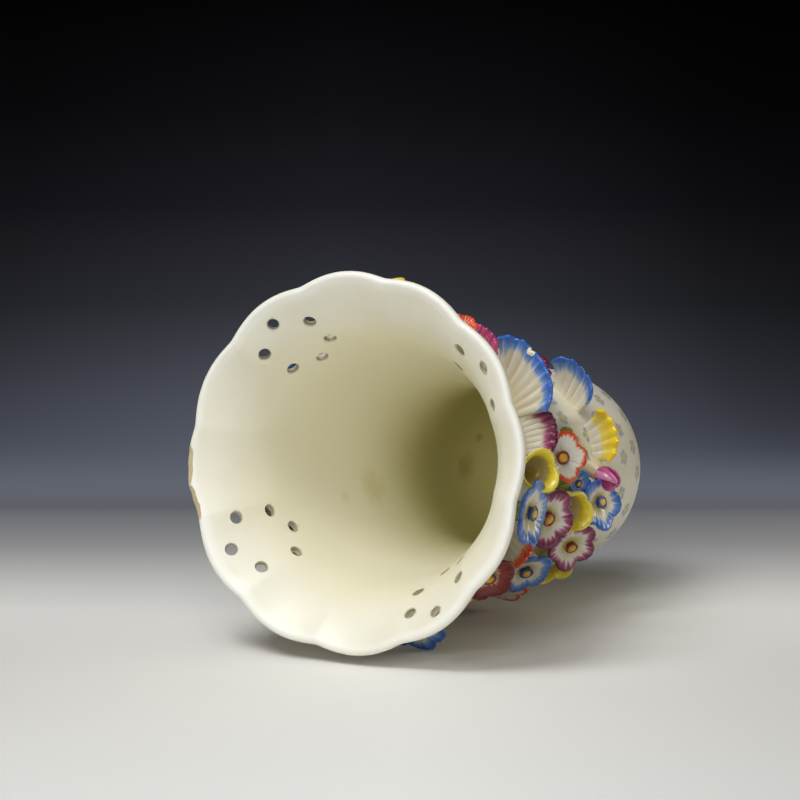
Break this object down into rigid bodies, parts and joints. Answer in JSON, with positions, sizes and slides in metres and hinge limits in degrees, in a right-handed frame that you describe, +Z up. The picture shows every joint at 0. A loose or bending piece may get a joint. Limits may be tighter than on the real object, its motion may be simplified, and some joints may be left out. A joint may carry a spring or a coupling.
{
  "type": "potpourri vase",
  "caption": "Potpourri vase with a lobed, pierced trumpet mouth on a globular body, its neck and shoulder encrusted with fluted frill petals and modelled flowers.",
  "frame": {"origin": "centre of the foot ring's underside, on the vase's axis", "axes": "+Z up along the vase's axis to the mouth, -Y to the front, where the flowers that the picture shows are"},
  "size_m": [0.141, 0.14, 0.204],
  "materials": {
    "white_glaze": "clear glossy lead glaze on cream-white soft-paste porcelain",
    "blue_painted": "glossy glaze, white petal with a brushed blue enamel edge",
    "orange_painted": "glossy glaze, white petal with a brushed orange enamel edge",
    "pink_painted": "glossy glaze, white petal with a brushed pink enamel edge",
    "puce_painted": "glossy glaze, white petal with a brushed puce enamel edge",
    "red_painted": "glossy glaze, white petal with a brushed red enamel edge",
    "yellow_painted": "glossy glaze, white petal with a brushed yellow enamel edge"
  },
  "bodies": {
    "root": {"body": "white_glaze", "pierced_mouth": "white_glaze", "foot_ring": "white_glaze", "upper_frill_1": "puce_painted", "upper_frill_2": "blue_painted", "upper_frill_3": "pink_painted", "upper_frill_4": "yellow_painted", "upper_frill_5": "blue_painted", "upper_frill_6": "puce_painted", "upper_frill_7": "orange_painted", "upper_frill_8": "blue_painted", "upper_frill_9": "yellow_painted", "upper_frill_10": "puce_painted", "upper_frill_11": "blue_painted", "upper_frill_12": "yellow_painted", "upper_frill_13": "orange_painted", "lower_frill_1": "yellow_painted", "lower_frill_2": "blue_painted", "lower_frill_3": "orange_painted", "lower_frill_4": "blue_painted", "lower_frill_5": "yellow_painted", "lower_frill_6": "puce_painted", "top_cup_1": "yellow_painted", "top_primrose_2": "blue_painted", "top_floret_3": "orange_painted", "top_cup_4": "yellow_painted", "top_floret_5": "red_painted", "top_primrose_6": "blue_painted", "top_cup_7": "yellow_painted", "top_primrose_8": "puce_painted", "top_primrose_9": "orange_painted", "top_primrose_10": "blue_painted", "top_primrose_11": "red_painted", "neck_primrose_1": "orange_painted", "neck_primrose_2": "puce_painted", "neck_primrose_3": "blue_painted", "neck_primrose_4": "puce_painted", "neck_primrose_5": "red_painted", "neck_primrose_6": "yellow_painted", "neck_primrose_7": "yellow_painted", "neck_primrose_8": "blue_painted", "neck_primrose_9": "puce_painted", "neck_primrose_10": "orange_painted", "waist_cup_1": "yellow_painted", "waist_floret_2": "blue_painted", "waist_primrose_3": "puce_painted", "waist_primrose_4": "blue_painted", "waist_primrose_5": "orange_painted", "waist_primrose_6": "puce_painted", "waist_primrose_7": "yellow_painted", "waist_primrose_8": "blue_painted", "waist_primrose_9": "red_painted", "shoulder_bud_1": "pink_painted", "shoulder_primrose_2": "blue_painted", "shoulder_primrose_3": "puce_painted", "shoulder_cup_4": "yellow_painted", "shoulder_primrose_5": "orange_painted", "shoulder_primrose_6": "blue_painted", "shoulder_primrose_7": "puce_painted", "shoulder_primrose_8": "blue_painted"}
  },
  "joints": []
}
